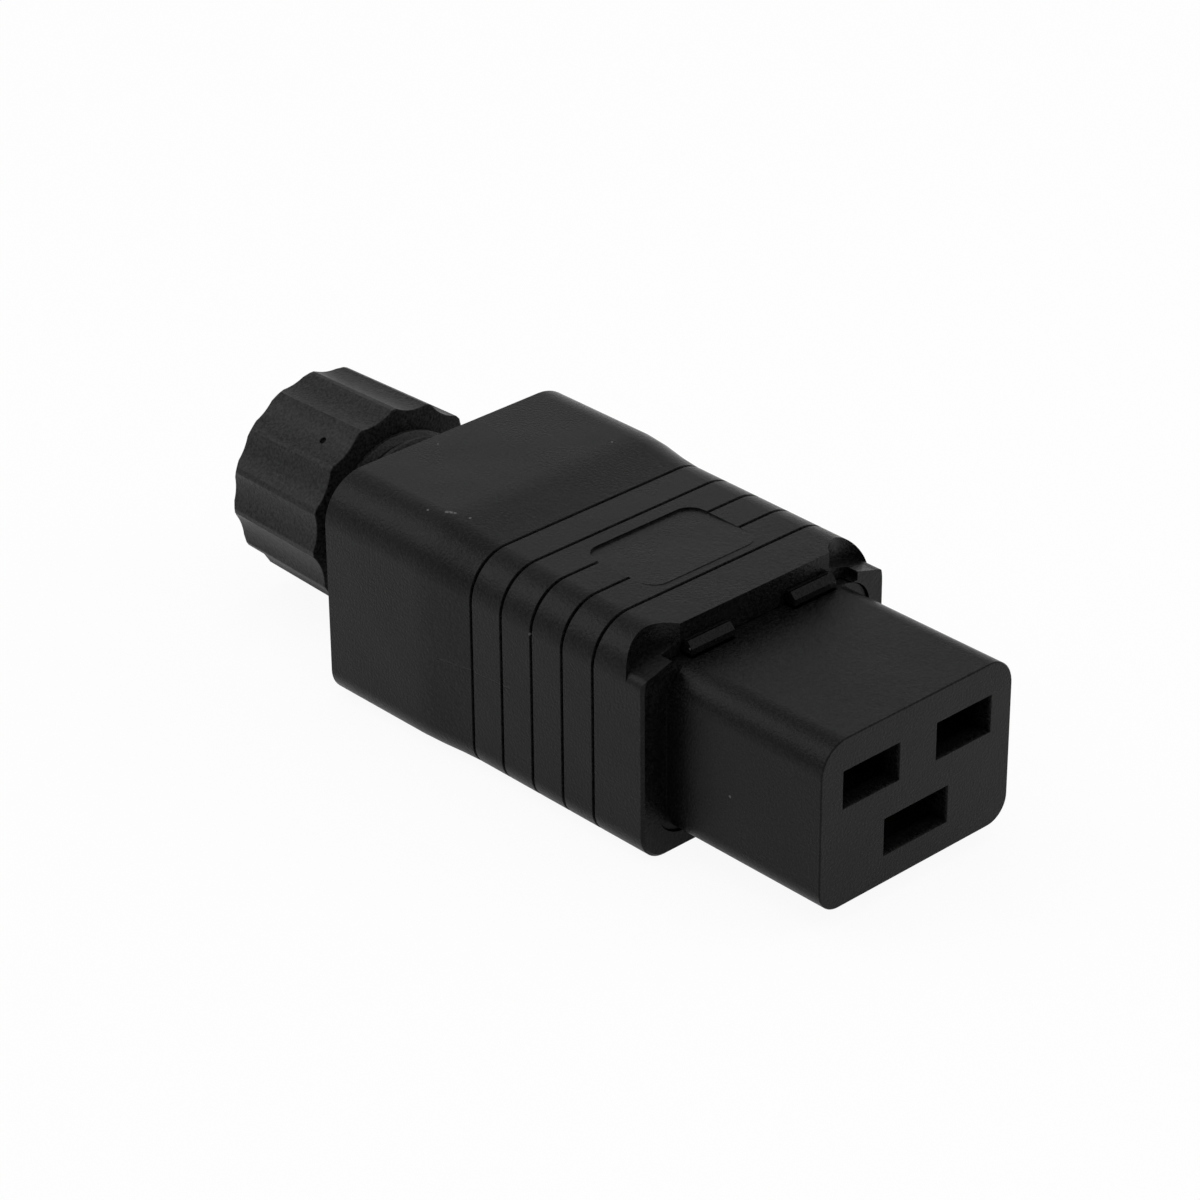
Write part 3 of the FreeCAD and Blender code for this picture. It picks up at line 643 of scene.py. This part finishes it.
def pale_floor():
    mesh = bpy.data.meshes.new("floor")
    low = cad_box[0][2]
    corners = [(x * FLOOR_HALF, y * FLOOR_HALF, low) for x, y in ((-1, -1), (1, -1), (1, 1), (-1, 1))]
    mesh.from_pydata(corners, [], [(0, 1, 2, 3)])
    floor = bpy.data.objects.new("floor", mesh)
    bpy.context.scene.collection.objects.link(floor)
    material = bpy.data.materials.new("pale_floor")
    material.use_nodes = True
    tree = material.node_tree
    tree.nodes.clear()
    matt = add(tree, "ShaderNodeBsdfDiffuse", {"Color": (0.86, 0.86, 0.86, 1.0)})
    white = add(tree, "ShaderNodeEmission", {"Color": (1.0, 1.0, 1.0, 1.0), "Strength": 1.0})
    mix = add(tree, "ShaderNodeMixShader")
    tree.links.new(background_share(tree, 0.93, 0.35).outputs[0], mix.inputs[0])
    tree.links.new(matt.outputs[0], mix.inputs[1])
    tree.links.new(white.outputs[0], mix.inputs[2])
    tree.links.new(mix.outputs[0], add(tree, "ShaderNodeOutputMaterial").inputs["Surface"])
    mesh.materials.append(material)


def surroundings():
    world = bpy.data.worlds.new("studio")
    bpy.context.scene.world = world
    world.use_nodes = True
    tree = world.node_tree
    tree.nodes.clear()
    room = add(tree, "ShaderNodeBackground", {"Color": (1.0, 1.0, 1.0, 1.0), "Strength": 0.46})
    white = add(tree, "ShaderNodeBackground", {"Color": (1.0, 1.0, 1.0, 1.0), "Strength": 1.0})
    mix = add(tree, "ShaderNodeMixShader")
    tree.links.new(background_share(tree, 1.0, 0.30).outputs[0], mix.inputs[0])
    tree.links.new(room.outputs[0], mix.inputs[1])
    tree.links.new(white.outputs[0], mix.inputs[2])
    tree.links.new(mix.outputs[0], add(tree, "ShaderNodeOutputWorld").inputs["Surface"])


def soft_lamp(name, place, target, size, watts, mirrored=False):
    lamp = bpy.data.lights.new(name, "AREA")
    lamp.shape = "SQUARE"
    lamp.size = size
    lamp.energy = watts
    holder = bpy.data.objects.new(name, lamp)
    holder.location = place
    holder.rotation_euler = (Vector(target) - Vector(place)).to_track_quat("-Z", "Y").to_euler()
    holder.visible_glossy = mirrored
    bpy.context.scene.collection.objects.link(holder)


CAMERA_TURN, CAMERA_RISE, CAMERA_ROLL = math.radians(42.933), math.radians(29.04), -0.008197
CAMERA_RIGHT, CAMERA_UP, CAMERA_BACK = -0.030917, 0.017983, 0.403787    # m, along the camera's own axes
CAMERA_LENS = 124.2                                                     # mm


def three_quarter_camera():
    """From the front left and above, looking down at the nose and the blank plate."""
    turn, rise, roll = CAMERA_TURN, CAMERA_RISE, CAMERA_ROLL
    back = Vector((math.cos(rise) * math.cos(turn), -math.cos(rise) * math.sin(turn), math.sin(rise)))
    level = Vector((math.sin(turn), math.cos(turn), 0.0))
    up = back.cross(level)
    right = level * math.cos(roll) + up * math.sin(roll)
    up = up * math.cos(roll) - level * math.sin(roll)
    lens = bpy.data.cameras.new("camera")
    lens.sensor_width = 36.0
    lens.lens = CAMERA_LENS
    lens.clip_start = 0.01
    camera = bpy.data.objects.new("camera", lens)
    stand = Matrix.Identity(4)
    for i in range(3):
        stand[i][0], stand[i][1], stand[i][2] = right[i], up[i], back[i]
    centre = right * CAMERA_RIGHT + up * CAMERA_UP + back * CAMERA_BACK
    stand[0][3], stand[1][3], stand[2][3] = centre
    camera.matrix_world = stand
    bpy.context.scene.collection.objects.link(camera)
    bpy.context.scene.camera = camera


pale_floor()
surroundings()
soft_lamp("overhead_softbox", (-0.05, 0.0, 0.75), (-0.04, 0.0, 0.0), 0.7, 2.2)
soft_lamp("left_softbox", (-0.85, -0.62, 0.82), (-0.05, 0.0, 0.0), 0.9, 3.4, mirrored=True)
soft_lamp("right_softbox", (0.40, 0.45, 0.30), (-0.03, 0.0, 0.0), 0.45, 1.2)
three_quarter_camera()
bpy.context.scene.view_settings.view_transform = "Standard"
